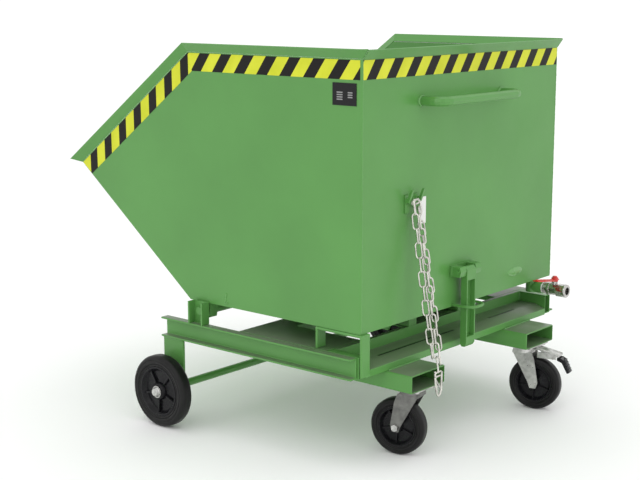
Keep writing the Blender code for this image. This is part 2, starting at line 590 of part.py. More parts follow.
def caster(name, side, way, fork_material):
    """A swivel caster: top plate, fork with its bearing head, axle bolt, hub and tyre."""
    axis = Vector((CASTER_X, side * POCKET_Y, 0))
    swivel = bpy.data.objects.new(f"swivel_{name}", None)
    PARTS.objects.link(swivel)
    swivel.parent = SKIP
    swivel.location = axis
    swivel.rotation_euler.z = CASTER_TURN
    wheel_x = CASTER_X + way * CASTER_TRAIL
    y = side * POCKET_Y
    inner, outer = CASTER_WHEEL_WIDTH / 2 + 0.0025, CASTER_WHEEL_WIDTH / 2 + 0.0060
    plate_top = POCKET_BOTTOM_Z - GAP
    plate = box(f"caster_plate_{name}", (POCKET_REAR_X - 0.100, y - 0.055, plate_top - 0.004),
                (POCKET_REAR_X - 0.002, y + 0.055, plate_top), ZINC)
    bevel(plate, 0.0015)
    head_top = plate_top - 0.004 - GAP
    crown = CASTER_WHEEL_RADIUS * 2 + 0.012
    fork = rod(f"caster_fork_{name}", (*axis.xy, crown + 0.004), (*axis.xy, head_top), 0.036, fork_material, sides=28,
               radius_end=0.034)
    block = box(f"fork_crown_{name}", (CASTER_X - 0.030, y - outer, crown), (CASTER_X + 0.030, y + outer, crown + 0.008),
                fork_material, CUTTERS)
    tools = [block]
    for number, leg in enumerate((-1, 1)):
        near, far = sorted((y + leg * inner, y + leg * outer))
        outline = [(CASTER_X - way * 0.030, crown + 0.006), (CASTER_X + way * 0.034, crown + 0.006),
                   (CASTER_X + way * 0.044, crown - 0.020), (wheel_x + way * 0.016, CASTER_WHEEL_RADIUS + 0.006),
                   (wheel_x + way * 0.010, CASTER_WHEEL_RADIUS - 0.013), (wheel_x - way * 0.010, CASTER_WHEEL_RADIUS - 0.013),
                   (wheel_x - way * 0.016, CASTER_WHEEL_RADIUS + 0.004)]
        tools.append(prism(f"fork_leg_{name}_{number}", outline, "y", near, far, fork_material, CUTTERS))
    join(fork, *tools)
    bolt_hole = rod(f"bolt_hole_{name}", (wheel_x, y - 0.05, CASTER_WHEEL_RADIUS), (wheel_x, y + 0.05, CASTER_WHEEL_RADIUS),
                    CASTER_BOLT_RADIUS + GAP, ZINC, CUTTERS, sides=24)
    cut(fork, bolt_hole)
    for obj in (fork, bolt_hole, *tools):
        hang(obj, swivel)
    bolt = rod(f"caster_bolt_{name}", (wheel_x, y - outer - 0.006, CASTER_WHEEL_RADIUS),
               (wheel_x, y + outer + 0.006, CASTER_WHEEL_RADIUS), CASTER_BOLT_RADIUS, ZINC, sides=24)
    hang(bolt, swivel)
    for number, end in enumerate((-1, 1)):
        cap = rod(f"bolt_head_{name}_{number}", (wheel_x, y + end * (outer + GAP), CASTER_WHEEL_RADIUS),
                  (wheel_x, y + end * (outer + 0.007), CASTER_WHEEL_RADIUS), 0.0105, ZINC, CUTTERS, sides=6)
        join(bolt, hang(cap, swivel))
    pair = wheel(f"caster_wheel_{name}", (wheel_x, y, CASTER_WHEEL_RADIUS), CASTER_WHEEL_RADIUS, CASTER_WHEEL_WIDTH,
                 CASTER_BOLT_RADIUS + GAP)
    for obj in pair:
        hang(obj, swivel)
    return swivel


def brake(swivel):
    """The far caster's brake: a pressed cover over the wheel and a foot pedal."""
    y, width = POCKET_Y, 0.021
    cover = [(0.0673, 0.1975), (0.084, 0.2010), (0.152, 0.1860), (0.152, 0.1800), (0.084, 0.1960), (0.0673, 0.1925)]
    hang(prism("brake_cover", cover, "y", y - width, y + width, ZINC), swivel)
    pedal = [(0.144, 0.1775), (0.156, 0.1775), (0.168, 0.1700), (PEDAL_TIP_X, 0.1330), (PEDAL_TIP_X - 0.008, 0.1290),
             (0.160, 0.1620), (0.144, 0.1680)]
    obj = bevel(prism("brake_pedal", pedal, "y", y - 0.016, y + 0.016, PLASTIC), 0.0015)
    hang(pivot(obj, (0.146, y, 0.173)), swivel)


def chain():
    """The safety chain's envelope, hung from the hook and leaning out over the pocket, and its snap hook."""
    outline = [(0.0085, 0.740), (0.0235, 0.740), (0.118, 0.262), (0.118, 0.232), (0.0965, 0.232)]
    links = prism("safety_chain", outline, "y", CHAIN_Y - 0.021, CHAIN_Y + 0.021, ZINC)
    pivot(links, (0.016, CHAIN_Y, CHAIN_HOOK_Z))
    points = [(0.107, CHAIN_Y - 0.015, 0.2300), (0.107, CHAIN_Y - 0.011, 0.186), (0.107, CHAIN_Y + 0.009, 0.200),
              (0.107, CHAIN_Y + 0.015, 0.2300)]
    hook = tube("snap_hook", points, 0.004, ZINC, bend=0.008)
    pivot(hook, (0.016, CHAIN_Y, CHAIN_HOOK_Z))


def base():
    rails_and_deck()
    rear_sill()
    corner_tubes()
    fork_pockets()
    rest_bracket()
    hinge_posts()
    front_axle()
    front_wheels()
    caster("near", -1, -1, DARK_ZINC)
    brake(caster("far", 1, 1, ZINC))


hopper()
base()
chain()
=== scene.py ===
import json
import math

import bmesh
import bpy
from mathutils import Matrix, Vector


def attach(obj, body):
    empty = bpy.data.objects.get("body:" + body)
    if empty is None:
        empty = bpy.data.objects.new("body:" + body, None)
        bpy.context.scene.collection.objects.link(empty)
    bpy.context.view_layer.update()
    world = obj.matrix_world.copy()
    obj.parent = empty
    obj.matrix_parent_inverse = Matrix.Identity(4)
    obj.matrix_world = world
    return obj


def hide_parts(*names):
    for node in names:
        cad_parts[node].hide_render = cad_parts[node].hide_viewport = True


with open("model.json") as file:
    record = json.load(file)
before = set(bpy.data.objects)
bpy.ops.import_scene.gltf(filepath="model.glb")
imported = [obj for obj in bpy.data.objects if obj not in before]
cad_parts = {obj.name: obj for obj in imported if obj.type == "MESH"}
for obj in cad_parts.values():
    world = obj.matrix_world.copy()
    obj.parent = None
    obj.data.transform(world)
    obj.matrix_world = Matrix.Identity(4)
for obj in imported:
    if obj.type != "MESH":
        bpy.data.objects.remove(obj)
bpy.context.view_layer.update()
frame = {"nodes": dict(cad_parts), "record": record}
NODES = frame["nodes"]
REAR_WALL_X = 0.5005


def place(x, y, z):
    """A point given from the hopper's rear wall, moved to the shared frame."""
    return Vector((x + REAR_WALL_X, y, z))


# Materials


class Nodes:
    """Builds one material's node tree."""

    def __init__(self, name, colour, roughness, metallic=0.0):
        self.mat = bpy.data.materials.new(name)
        self.mat.use_nodes = True
        self.tree = self.mat.node_tree
        self.shader = self.tree.nodes["Principled BSDF"]
        self.shader.inputs["Base Color"].default_value = (*colour, 1)
        self.shader.inputs["Roughness"].default_value = roughness
        self.shader.inputs["Metallic"].default_value = metallic
        self.coords = self.tree.nodes.new("ShaderNodeTexCoord")

    def link(self, out, to):
        self.tree.links.new(out, to)

    def noise(self, scale, detail=4.0, stretch=None):
        node = self.tree.nodes.new("ShaderNodeTexNoise")
        node.inputs["Scale"].default_value = scale
        node.inputs["Detail"].default_value = detail
        source = self.coords.outputs["Object"]
        if stretch:
            mapping = self.tree.nodes.new("ShaderNodeMapping")
            mapping.inputs["Scale"].default_value = stretch
            self.link(source, mapping.inputs["Vector"])
            source = mapping.outputs["Vector"]
        self.link(source, node.inputs["Vector"])
        return node.outputs["Fac"]

    def ramp(self, fac, stops):
        node = self.tree.nodes.new("ShaderNodeValToRGB")
        ramp = node.color_ramp
        while len(ramp.elements) < len(stops):
            ramp.elements.new(0.5)
        for element, (where, colour) in zip(ramp.elements, stops):
            element.position = where
            element.color = (*colour, 1)
        self.link(fac, node.inputs["Fac"])
        return node.outputs["Color"]

    def grey(self, fac, low, high, start=0.3, end=0.7):
        node = self.tree.nodes.new("ShaderNodeMapRange")
        for key, value in (("From Min", start), ("From Max", end), ("To Min", low), ("To Max", high)):
            node.inputs[key].default_value = value
        self.link(fac, node.inputs["Value"])
        return node.outputs["Result"]

    def math(self, kind, a, b=0.0):
        node = self.tree.nodes.new("ShaderNodeMath")
        node.operation = kind
        for i, value in enumerate((a, b)):
            if isinstance(value, (int, float)):
                node.inputs[i].default_value = value
            else:
                self.link(value, node.inputs[i])
        return node.outputs["Value"]

    def bump(self, height, distance, strength=1.0):
        node = self.tree.nodes.new("ShaderNodeBump")
        node.inputs["Distance"].default_value = distance
        node.inputs["Strength"].default_value = strength
        self.link(height, node.inputs["Height"])
        self.link(node.outputs["Normal"], self.shader.inputs["Normal"])

    def dust_and_sheen(self, tone, amount):
        """Faces that look up mixed toward grey-brown: partly dusty paint, partly a painted reflection of the
        bright surroundings seen at a grazing angle.
        """
        parts = self.tree.nodes.new("ShaderNodeSeparateXYZ")
        self.link(self.tree.nodes.new("ShaderNodeNewGeometry").outputs["Normal"], parts.inputs["Vector"])
        up = self.grey(parts.outputs["Z"], 0.0, amount, 0.80, 0.97)
        # Mask of faces that look up, broken by noise: where the grey of dusty paint and of painted reflection
        # goes.
        dust_and_sheen_mask = self.math("MULTIPLY", up, self.grey(self.noise(5, 4), 0.55, 1.0))
        mix = self.tree.nodes.new("ShaderNodeMix")
        mix.data_type = "RGBA"
        self.link(dust_and_sheen_mask, mix.inputs["Factor"])
        self.link(tone, mix.inputs["A"])
        mix.inputs["B"].default_value = (0.175, 0.185, 0.150, 1)
        return mix.outputs["Result"]

    def colour(self, out):
        self.link(out, self.shader.inputs["Base Color"])

    def rough(self, out):
        self.link(out, self.shader.inputs["Roughness"])


def shade(colour, factor):
    """The colour made lighter or darker by a factor."""
    return tuple(min(1.0, c * factor) for c in colour)


def paint(name, colour, roughness, coat=0.15, dust_and_sheen_amount=0.0):
    """Sprayed enamel: faint cloudy tone, fine orange peel and a few dull patches."""
    n = Nodes(name, colour, roughness)
    cloud = n.noise(3.5, 5)
    tone = n.ramp(cloud, [(0.30, shade(colour, 0.93)), (0.70, shade(colour, 1.06))])
    # Optionally greys the faces that look up: partly dusty, partly painted reflection.
    if dust_and_sheen_amount:
        tone = n.dust_and_sheen(tone, dust_and_sheen_amount)
    n.colour(tone)
    n.rough(n.grey(n.noise(9, 6), roughness - 0.06, roughness + 0.10))
    n.bump(n.math("ADD", n.noise(420, 2), n.math("MULTIPLY", n.noise(26, 3), 1.6)), 0.00022, 0.5)
    n.shader.inputs["Coat Weight"].default_value = coat
    n.shader.inputs["Specular IOR Level"].default_value = 0.32 if max(colour) > 0.1 else 0.15
    n.shader.inputs["Coat Roughness"].default_value = 0.22
    return n.mat


def plated(name, colour, roughness, streak=(1, 1, 1)):
    """Zinc plate on pressed steel: mottled tone and fine drawn lines."""
    n = Nodes(name, colour, roughness, 1.0)
    n.colour(n.ramp(n.noise(55, 6, streak), [(0.3, shade(colour, 0.72)), (0.72, shade(colour, 1.18))]))
    n.rough(n.grey(n.noise(140, 4), roughness - 0.08, roughness + 0.14))
    n.bump(n.noise(500, 3), 0.00015, 0.4)
    return n.mat


def rubber(name, colour, roughness, grain=900):
    """Rubber, plastic or cloth tape: matt, scuffed lighter in places."""
    n = Nodes(name, colour, roughness)
    n.colour(n.ramp(n.noise(24, 6), [(0.35, colour), (0.75, shade(colour, 1.9))]))
    n.rough(n.grey(n.noise(45, 5), roughness - 0.10, roughness + 0.10))
    n.bump(n.noise(grain, 2), 0.0002, 0.5)
    n.shader.inputs["Specular IOR Level"].default_value = 0.22
    return n.mat


STRIPE_PITCH = 0.087
STRIPE_LEAN = 0.72
BLACK_SHARE = 0.52


def tape():
    """Yellow and black warning tape. Its stripes lean across the strip that each piece is drawn as."""
    n = Nodes("warning_tape", (0.6, 0.6, 0.05), 0.38)
    parts = n.tree.nodes.new("ShaderNodeSeparateXYZ")
    n.link(n.coords.outputs["Object"], parts.inputs["Vector"])
    run = n.math("SUBTRACT", parts.outputs["X"], n.math("MULTIPLY", parts.outputs["Y"], STRIPE_LEAN))
    band = n.math("FRACT", n.math("DIVIDE", n.math("ADD", run, 10.0), STRIPE_PITCH))
    black = n.math("GREATER_THAN", band, BLACK_SHARE)
    mix = n.tree.nodes.new("ShaderNodeMix")
    mix.data_type = "RGBA"
    n.link(black, mix.inputs["Factor"])
    yellow = n.ramp(n.noise(14, 4), [(0.3, (0.56, 0.60, 0.028)), (0.7, (0.66, 0.69, 0.045))])
    n.link(yellow, mix.inputs["A"])
    mix.inputs["B"].default_value = (0.011, 0.010, 0.009, 1)
    n.colour(mix.outputs["Result"])
    n.rough(n.grey(n.noise(30, 4), 0.30, 0.48))
    n.bump(n.noise(300, 2), 0.0001, 0.3)
    n.shader.inputs["Specular IOR Level"].default_value = 0.15
    return n.mat


GREEN_RGB = (0.094, 0.282, 0.064)
GREEN = paint("green_enamel", GREEN_RGB, 0.34)
# Green enamel whose up-facing faces are greyed: partly dusty, partly painted reflection.
DUST_AND_SHEEN = paint("dust_and_sheen_enamel", GREEN_RGB, 0.36, 0.15, 0.85)
# Weld paint: the green enamel lifted by a factor of 1.12, a painted highlight on seams, beads and drops.
LIGHTENED_WELD = paint("weld_painted_highlight", shade(GREEN_RGB, 1.12), 0.28, 0.6)
ZINC = plated("bright_zinc", (0.60, 0.60, 0.58), 0.32)
DARK_ZINC = plated("dull_zinc", (0.20, 0.20, 0.19), 0.42)
CHAIN_ZINC = plated("chain_zinc", (0.66, 0.65, 0.60), 0.22)
STEEL = plated("turned_steel", (0.55, 0.54, 0.52), 0.22, (1, 9, 9))
TYRE = rubber("tyre_rubber", (0.007, 0.007, 0.007), 0.44)
HUB = rubber("hub_plastic", (0.005, 0.005, 0.006), 0.28, 300)
RED = paint("red_dip", (0.62, 0.030, 0.022), 0.34, 0.5)
WHITE = rubber("white_tape", (0.62, 0.62, 0.60), 0.55, 200)
TAG = paint("tag_enamel", (0.78, 0.79, 0.76), 0.35)
BLACK = paint("plate_black", (0.010, 0.010, 0.011), 0.30)
PRINT = paint("plate_print", (0.26, 0.26, 0.26), 0.45)
TAPE = tape()
BY_SLOT = {
    "green_paint": GREEN, "zinc_plate": ZINC, "dark_zinc": DARK_ZINC, "black_rubber": TYRE,
    "black_plastic": HUB, "red_lever": RED, "white_band": WHITE, "black_plate": BLACK,
}
SLOT_OF = {s["node"]: s["material_slot"] for s in frame["record"]["subparts"]}
BODY_OF = {node: body for body, nodes in frame["record"]["behaviour"]["bodies"].items() for node in nodes}

# Helpers

SIDES = ((-1, "near"), (1, "far"))
BEAD_STEP = 0.006


def finish_piece(obj, mat, body):
    obj.data.materials.clear()
    obj.data.materials.append(mat)
    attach(obj, body)
    return obj


def mesh_piece(name, bm, mat, body, smooth=40, matrix=None):
    """An object from the bmesh, with edges sharper than the smooth angle left sharp."""
    bmesh.ops.recalc_face_normals(bm, faces=bm.faces)
    mesh = bpy.data.meshes.new(name)
    bm.to_mesh(mesh)
    bm.free()
    obj = bpy.data.objects.new(name, mesh)
    bpy.context.scene.collection.objects.link(obj)
    if smooth:
        mesh.shade_smooth()
        mesh.set_sharp_from_angle(angle=math.radians(smooth))
    if matrix:
        obj.matrix_world = matrix
    return finish_piece(obj, mat, body)


def soften(node, width, mat=None):
    """The CAD node's shape with its edges rounded over."""
    bm = bmesh.new()
    bm.from_mesh(NODES[node].data)
    bmesh.ops.remove_doubles(bm, verts=bm.verts, dist=0.00002)
    bmesh.ops.dissolve_limit(bm, angle_limit=0.02, verts=bm.verts, edges=bm.edges)
    slot = SLOT_OF[node]
    obj = mesh_piece(node + "_seen", bm, mat or BY_SLOT[slot], BODY_OF[node])
    bevel = obj.modifiers.new("round", "BEVEL")
    bevel.width = width
    bevel.segments = 2
    bevel.limit_method = "ANGLE"
    bevel.angle_limit = math.radians(32)
    bevel.use_clamp_overlap = True
    bevel.harden_normals = True
    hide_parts(node)
    return obj


def stand_on(centre, axis):
    """The move that stands a shape built along +Z on the centre point, along the axis."""
    turn = Vector((0, 0, 1)).rotation_difference(Vector(axis)).to_matrix().to_4x4()
    return Matrix.Translation(centre) @ turn


def lathe(name, centre, axis, profile, mat, body, steps=48, smooth=38):
    """A closed ring of (radius, along) points turned about an axis through the centre."""
    matrix = stand_on(centre, axis)
    bm = bmesh.new()
    rings = []
    for i in range(steps):
        a = 2 * math.pi * i / steps
        ring = [Vector((r * math.cos(a), r * math.sin(a), h)) for r, h in profile]
        rings.append([bm.verts.new(matrix @ point) for point in ring])
    for one, two in zip(rings, rings[1:] + rings[:1]):
        for j in range(len(profile)):
            k = (j + 1) % len(profile)
            bm.faces.new([one[j], one[k], two[k], two[j]])
    bmesh.ops.remove_doubles(bm, verts=bm.verts, dist=0.00001)
    return mesh_piece(name, bm, mat, body, smooth)


def block(name, low, high, mat, body, width=0.0006):
    """A box between two corners, its edges bevelled by width."""
    bm = bmesh.new()
    bmesh.ops.create_cube(bm, size=1.0)
    low, high = Vector(low), Vector(high)
    bmesh.ops.scale(bm, vec=high - low, verts=bm.verts)
    bmesh.ops.translate(bm, vec=(low + high) / 2, verts=bm.verts)
    bmesh.ops.bevel(bm, geom=bm.edges, offset=width, segments=2, affect="EDGES", profile=0.5)
    return mesh_piece(name, bm, mat, body)


def hexagon(name, centre, axis, across, height, mat, body):
    """A hex head or nut with chamfered corners, standing on the centre point along the axis."""
    r = across / 2 / math.cos(math.pi / 6)
    bm = bmesh.new()
    bmesh.ops.create_cone(bm, cap_ends=True, segments=6, radius1=r, radius2=r, depth=height)
    bmesh.ops.translate(bm, vec=(0, 0, height / 2), verts=bm.verts)
    bmesh.ops.bevel(bm, geom=bm.edges, offset=height * 0.12, segments=2, affect="EDGES", profile=0.5)
    bmesh.ops.transform(bm, matrix=stand_on(centre, axis), verts=bm.verts)
    return mesh_piece(name, bm, mat, body)


def sweep(name, points, radius, mat, body, closed=False, resolution=4, wobble=0.0):
    """A round wire, bead or bar along points."""
    curve = bpy.data.curves.new(name, "CURVE")
    curve.dimensions = "3D"
    curve.bevel_depth = radius
    curve.bevel_resolution = resolution
    curve.use_fill_caps = True
    spline = curve.splines.new("POLY")
    spline.points.add(len(points) - 1)
    for i, (point, where) in enumerate(zip(spline.points, points)):
        point.co = (*where, 1)
        point.radius = 1 + wobble * math.sin(i * 2.4) + wobble * 0.6 * math.sin(i * 0.83)
    spline.use_cyclic_u = closed
    obj = bpy.data.objects.new(name, curve)
    bpy.context.scene.collection.objects.link(obj)
    mesh = bpy.data.meshes.new_from_object(obj.evaluated_get(bpy.context.evaluated_depsgraph_get()))
    bpy.data.objects.remove(obj, do_unlink=True)
    bm = bmesh.new()
    bm.from_mesh(mesh)
    bmesh.ops.remove_doubles(bm, verts=bm.verts, dist=0.000005)
    return mesh_piece(name, bm, mat, body, 70)


def bead(name, start, end, radius, body="hopper"):
    """A weld bead with a rippled surface along a straight seam."""
    count = max(3, int((end - start).length / BEAD_STEP))
    points = [start.lerp(end, i / count) for i in range(count + 1)]
    return sweep(name, points, radius, LIGHTENED_WELD, body, resolution=2, wobble=0.16)


# Materials of the CAD nodes, and steelwork with rolled and dressed edges

for node, obj in NODES.items():
    obj.data.materials.clear()
    obj.data.materials.append(BY_SLOT[SLOT_OF[node]])
NODES["chain_tag"].data.materials[0] = TAG
NODES["valve_body"].data.materials[0] = STEEL

# Base parts that get the grey on faces that look up: partly dusty, partly painted reflection.
DUST_AND_SHEEN_NODES = ("deck_plate", "rear_sill", "fork_pocket_near", "fork_pocket_far", "rail_near", "rail_far")
EDGE_ROUNDING = {
    "rail_near": 0.0028, "rail_far": 0.0028,
    "fork_pocket_near": 0.003, "fork_pocket_far": 0.003,
    "rear_sill": 0.0016,
    "corner_tube_near": 0.0013, "corner_tube_far": 0.0013,
    "rest_bracket": 0.0030,
    "hinge_post_near": 0.0026, "hinge_post_far": 0.0026,
    "front_leg_near": 0.0016, "front_leg_far": 0.0016,
    "latch_bracket": 0.0014, "latch_lever": 0.0022,
    "chain_hook": 0.0012, "deck_plate": 0.0010, "hinge_tube": 0.0016,
    "caster_plate_near": 0.0012, "caster_plate_far": 0.0012,
    "brake_cover": 0.0010,
    "axle_nut_near": 0.0012, "axle_nut_far": 0.0012,
}
for node, width in EDGE_ROUNDING.items():
    soften(node, width, DUST_AND_SHEEN if node in DUST_AND_SHEEN_NODES else None)

# Warning tape: level along the top, slanting down to the lip, and across the rear wall

TAPE_WIDTH = 0.052
TAPE_TOP_Z = 1.131
CORNER_X = -0.652
LIP_X, LIP_Z = -1.144, 0.766
LEVEL_LENGTH = 0.6465
REAR_LENGTH = 0.989
LIP_START, LIP_LEAN = 0.004, 0.277
SLANT = Vector((CORNER_X - LIP_X, 0, TAPE_TOP_Z - LIP_Z))
MITRE = math.tan(math.atan2(SLANT.z, SLANT.x) / 2) * TAPE_WIDTH


def strip_of_tape(name, outline, origin, along, across):
    """A thin patch of tape drawn in its own frame, so that its stripes follow its edges."""
    normal = along.cross(across)
    matrix = Matrix.Translation(origin) @ Matrix((along, across, normal)).transposed().to_4x4()
    bm = bmesh.new()
    face = bm.faces.new([bm.verts.new((u, v, 0)) for u, v in outline])
    made = bmesh.ops.extrude_face_region(bm, geom=[face])
    moved = [v for v in made["geom"] if isinstance(v, bmesh.types.BMVert)]
    bmesh.ops.translate(bm, vec=(0, 0, 0.00035), verts=moved)
    return mesh_piece(name, bm, TAPE, "hopper", 0, matrix)


def tape_on_side(name, side, outline, x, z, along, across):
    """A strip on a side wall. On the far wall it is drawn mirrored, so that it still faces outwards."""
    if side > 0:
        outline = [(-u, v) for u, v in reversed(outline)]
        along = -along
    strip_of_tape(name, outline, place(x, side * 0.50015, z), along, across)


ALONG_X, ALONG_Y, UP = Vector((1, 0, 0)), Vector((0, 1, 0)), Vector((0, 0, 1))
level_outline = [(0, 0), (MITRE, -TAPE_WIDTH), (LEVEL_LENGTH, -TAPE_WIDTH), (LEVEL_LENGTH, 0)]
slant_outline = [
    (LIP_START, 0), (LIP_START + LIP_LEAN * TAPE_WIDTH, -TAPE_WIDTH),
    (SLANT.length - MITRE, -TAPE_WIDTH), (SLANT.length, 0),
]
run = SLANT.normalized()
square_to_run = Vector((-run.z, 0, run.x))
for side, word in SIDES:
    tape_on_side(f"tape_flat_{word}", side, level_outline, CORNER_X, TAPE_TOP_Z, ALONG_X, UP)
    tape_on_side(f"tape_slant_{word}", side, slant_outline, LIP_X, LIP_Z, run, square_to_run)
rear_outline = [(0, 0), (0, -TAPE_WIDTH), (REAR_LENGTH, -TAPE_WIDTH), (REAR_LENGTH, 0)]
strip_of_tape("tape_rear", rear_outline, place(0.0002, -REAR_LENGTH / 2, TAPE_TOP_Z), ALONG_Y, UP)

# Weld beads: the mirrored ones are given for the far side

MIRRORED_BEADS = (
    ("corner_weld", (-0.0006, 0.4949, 0.395), (-0.0006, 0.4949, 1.130), 0.0016, "hopper"),
    ("post_weld", (-0.634, 0.512, 0.3275), (-0.577, 0.512, 0.3275), 0.0022, "base"),
    ("leg_weld", (-0.748, 0.5290, 0.2635), (-0.669, 0.5290, 0.2635), 0.0024, "base"),
    ("pocket_weld", (0.0020, 0.225, 0.2635), (0.0020, 0.375, 0.2635), 0.0022, "base"),
    ("saddle_weld", (-0.628, 0.4960, 0.3885), (-0.578, 0.4960, 0.3885), 0.0018, "hopper"),
    ("sill_weld", (-0.0995, 0.4735, 0.2975), (-0.0995, 0.4735, 0.3255), 0.0026, "base"),
)
for side, word in SIDES:
    for name, (x0, y0, z0), (x1, y1, z1), radius, body in MIRRORED_BEADS:
        bead(f"{name}_{word}", place(x0, side * y0, z0), place(x1, side * y1, z1), radius, body)
bead("bracket_weld", place(0.0065, -0.4855, 0.2700), place(0.0065, -0.4675, 0.2700), 0.0022, "base")
for y, word in ((-0.0795, "near"), (0.0295, "far")):
    bead(f"latch_weld_{word}", place(0.0070, y, 0.486), place(0.0070, y, 0.512), 0.0018)

# Drops of weld left on the far corner and the near side
for number, z in enumerate((0.792, 0.800, 0.655, 0.640, 0.628, 0.575)):
    bead(f"corner_drop_{number}", place(-0.004, 0.4965, z), place(-0.004, 0.4965, z + 0.006), 0.0026)
bead("side_drop", place(-0.512, -0.4995, 0.402), place(-0.506, -0.4995, 0.430), 0.0030)
bead("side_drop_low", place(-0.512, -0.4995, 0.398), place(-0.500, -0.4995, 0.404), 0.0026)

# A black strip just under the sill's top: painted shade standing in for the dark inside its slots
block("sill_slot_painted_shade", place(-0.0497, -0.3617, 0.2905), place(-0.0423, 0.3517, 0.2951),
      TYRE, "base", 0.0004)

# Type plate: a blank panel with plain ruled bars

BAR_TOP_Z, BAR_PITCH, BAR_HEIGHT = 1.043, 0.0062, 0.0034
for column, count, left, right in (("bar", 4, -0.084, -0.064), ("mark", 3, -0.046, -0.030)):
    for row in range(count):
        z = BAR_TOP_Z - row * BAR_PITCH
        block(f"plate_{column}_{row}", place(left, -0.5021, z), place(right, -0.5014, z + BAR_HEIGHT),
              PRINT, "hopper", 0.0002)

# Chain: three strands of long links from the hook, and the snap hook at the foot

LINK_PITCH = 0.0405
LINK_WIRE_RADIUS = 0.0027
STRANDS = (
    ("near", (0.0160, -0.287, 0.738), (0.101, -0.294, 0.262), (-0.002, -0.002, 0)),
    ("mid", (0.0200, -0.276, 0.736), (0.107, -0.281, 0.250), (0.003, 0.002, 0)),
    ("far", (0.015, -0.263, 0.715), (0.108, -0.270, 0.262), (0.002, 0.003, 0)),
)
SNAP_HOOK = (
    (0.1035, -0.294, 0.262), (0.104, -0.292, 0.230), (0.106, -0.286, 0.196), (0.107, -0.281, 0.187),
    (0.108, -0.275, 0.190), (0.109, -0.270, 0.204), (0.109, -0.269, 0.258),
)


def link_wire(centre, along, flat, length=0.050, width=0.022, radius=0.0026):
    """The centre line of one welded long link, lying in the plane of along and flat."""
    along = along.normalized()
    flat = (flat - along * flat.dot(along)).normalized()
    straight, r = length / 2 - width / 2 + radius, width / 2 - radius
    points = []
    for end in (1, -1):
        for i in range(7):
            a = math.pi * i / 6
            lengthways = along * end * (straight + r * math.sin(a) - radius)
            points.append(centre + lengthways + flat * end * r * math.cos(a))
    return points


def strand(name, path, first):
    """Links along a path, each turned a quarter turn from the last. An odd first turns the top one."""
    lengths = [0.0]
    for a, b in zip(path, path[1:]):
        lengths.append(lengths[-1] + (b - a).length)
    for i in range(int(lengths[-1] / LINK_PITCH)):
        s = (i + 0.5) * LINK_PITCH
        k = max(j for j in range(len(path) - 1) if lengths[j] <= s)
        along = path[k + 1] - path[k]
        centre = path[k] + along.normalized() * (s - lengths[k])
        tilt = math.radians(38 + 14 * math.sin(i * 1.7 + first * 2.1))
        base = Vector((0.62, 0.78, 0)) if (i + first) % 2 else Vector((0.78, -0.62, 0))
        flat = Matrix.Rotation(tilt * 0.35, 3, along) @ base
        sweep(f"{name}_{i}", link_wire(centre, along, flat), LINK_WIRE_RADIUS,
              CHAIN_ZINC, "chain", closed=True, resolution=2)


def hang(start, end, sag):
    """A nearly straight hanging run."""
    return [start.lerp(end, i / 12) + sag * math.sin(math.pi * i / 12) for i in range(13)]


for first, (word, top, foot, sag) in enumerate(STRANDS):
    strand(f"strand_{word}", hang(place(*top), place(*foot), Vector(sag)), first)
snap = sweep("snap_hook_bar", [place(*point) for point in SNAP_HOOK], 0.0036, CHAIN_ZINC, "chain")
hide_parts("snap_hook")
eye_wire = link_wire(place(0.1065, -0.282, 0.252), Vector((0, 1, 0.05)), UP, 0.036, 0.017)
eye = sweep("snap_hook_eye", eye_wire, 0.0030, CHAIN_ZINC, "chain", closed=True)
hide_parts("safety_chain")
sweep("snap_hook_gate", [place(0.1085, -0.271, 0.206), place(0.1055, -0.291, 0.236)], 0.0022,
      STEEL, "chain")
top_wire = link_wire(place(0.0165, -0.278, 0.732), Vector((0, 1, 0.12)), UP, 0.038, 0.018)
sweep("chain_top_link", top_wire, 0.0026, CHAIN_ZINC, "chain", closed=True)

# Wheels

FRONT_X, FRONT_Y, FRONT_RADIUS, FRONT_HALF_WIDTH = -0.7085, 0.577, 0.111, 0.0235
CASTER_X, CASTER_Y, CASTER_RADIUS, CASTER_HALF_WIDTH = 0.031, 0.30, 0.084, 0.0215
CASTER_TRAIL = 0.040
CASTER_TURN = math.radians(12)
CASTER_PLATE_Z = 0.2057
FRONT_BORE, CASTER_BORE = 0.0126, 0.0068
RIBS = 5
WASHER = ((0.0122, 0), (0.0185, 0), (0.0185, 0.0010), (0.0122, 0.0010))
AXLE_CAP = ((0, 0), (0.0135, 0), (0.0130, 0.0050), (0.0095, 0.0080), (0, 0.0084))
SWIVEL_RING = ((0.026, 0), (0.0385, 0), (0.0395, 0.003), (0.0375, 0.0065), (0.026, 0.0065))


def both_faces(outside):
    """A (radius, along) profile closed by its own mirror image."""
    return outside + [(r, -h) for r, h in reversed(outside)]


